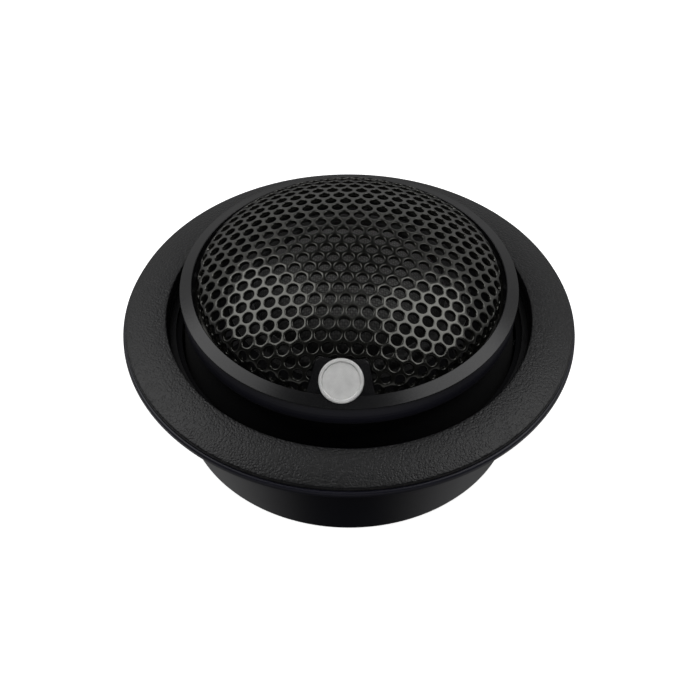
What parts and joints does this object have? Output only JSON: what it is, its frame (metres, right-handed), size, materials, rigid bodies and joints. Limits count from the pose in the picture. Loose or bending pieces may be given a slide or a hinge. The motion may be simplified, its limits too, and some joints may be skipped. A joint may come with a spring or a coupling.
{
  "type": "car tweeter",
  "caption": "Flush-mount swivel tweeter: a tapered cup and grained trim ring hold a tilting, turning pod with a silk dome behind a domed perforated steel grille.",
  "frame": {"origin": "on the axis, at the panel plane under the flange", "axes": "+Z out of the panel towards the listener; the badge is towards -Y; the tilt pins lie along X"},
  "size_m": [0.061, 0.061, 0.032],
  "materials": {
    "cup_plastic": "smooth satin",
    "grained_plastic": "fine moulded grain",
    "soft_rubber": "matt",
    "spring_steel": "black phosphate",
    "ring_plastic": "satin",
    "bezel_plastic": "smooth satin",
    "emblem_metal": "satin silver",
    "grille_steel": "semi-gloss black powder coat",
    "screw_steel": "black zinc",
    "motor_steel": "zinc plated",
    "magnet_nickel": "nickel plated",
    "copper": "bare copper",
    "felt": "pressed felt",
    "board": "glass-fibre board",
    "tag_brass": "tinned brass",
    "silk": "coated woven silk",
    "former": "amber film"
  },
  "bodies": {
    "cup": {"mounting_cup": "cup_plastic", "trim_ring": "grained_plastic", "cable_grommet": "soft_rubber", "friction_washer": "soft_rubber", "snap_ring": "spring_steel"},
    "ring": {"swivel_ring": "ring_plastic"},
    "pod": {"pivot_pins": "spring_steel", "rear_shell": "cup_plastic", "shell_grommet": "soft_rubber", "shell_gasket": "soft_rubber", "bezel_ring": "bezel_plastic", "emblem": "emblem_metal", "grille": "grille_steel", "faceplate": "ring_plastic", "chassis_screws": "screw_steel", "yoke_pot": "motor_steel", "magnet": "magnet_nickel", "pole_disc": "motor_steel", "shorting_ring": "copper", "dome_damper": "felt", "chamber_felt": "felt", "terminal_board": "board", "terminal_tags": "tag_brass", "coil_leads": "copper", "surround": "silk"},
    "diaphragm": {"dome_diaphragm": "silk", "coil_former": "former", "voice_coil": "copper"}
  },
  "joints": [
    {"name": "swivel_spin", "type": "hinge", "parent": "cup", "child": "ring", "pos_m": [0, 0, -0.0025], "axis": [0, 0, 1], "range_deg": [-170, 170]},
    {"name": "swivel_tilt", "type": "hinge", "parent": "ring", "child": "pod", "pos_m": [0, 0, -0.0025], "axis": [1, 0, 0], "range_deg": [-10, 10]},
    {"name": "dome_travel", "type": "slide", "parent": "pod", "child": "diaphragm", "axis": [0, 0, 1], "range_m": [-0.0003, 0.0003], "stiffness_N_per_m": 2000, "deforming": ["surround"]}
  ]
}
